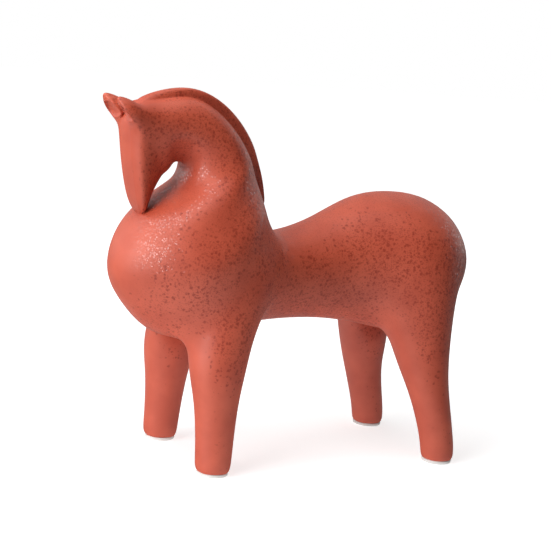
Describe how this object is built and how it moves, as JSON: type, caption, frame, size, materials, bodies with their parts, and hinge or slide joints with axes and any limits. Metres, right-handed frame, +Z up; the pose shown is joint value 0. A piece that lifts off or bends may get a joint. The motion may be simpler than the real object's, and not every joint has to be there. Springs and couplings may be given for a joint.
{
  "type": "horse figurine",
  "caption": "Stylised standing horse ornament in matte speckled coral ceramic, head tucked down to its chest, raised crest for a mane, soft white pads under its feet.",
  "frame": {"origin": "centre of the figure's bounding box, on the surface its pads stand on", "axes": "+Z up; the horse faces -Y and its left side is towards +X"},
  "size_m": [0.0986, 0.2386, 0.2075],
  "materials": {
    "coral_glaze": "matte coral glaze with darker red-brown speckles",
    "white_pad": "soft matte white"
  },
  "bodies": {
    "root": {"torso": "coral_glaze", "neck_and_head": "coral_glaze", "front_left_leg": "coral_glaze", "front_right_leg": "coral_glaze", "hind_left_leg": "coral_glaze", "hind_right_leg": "coral_glaze", "left_ear": "coral_glaze", "right_ear": "coral_glaze", "mane": "coral_glaze", "tail": "coral_glaze", "front_left_pad": "white_pad", "front_right_pad": "white_pad", "hind_left_pad": "white_pad", "hind_right_pad": "white_pad"}
  },
  "joints": []
}
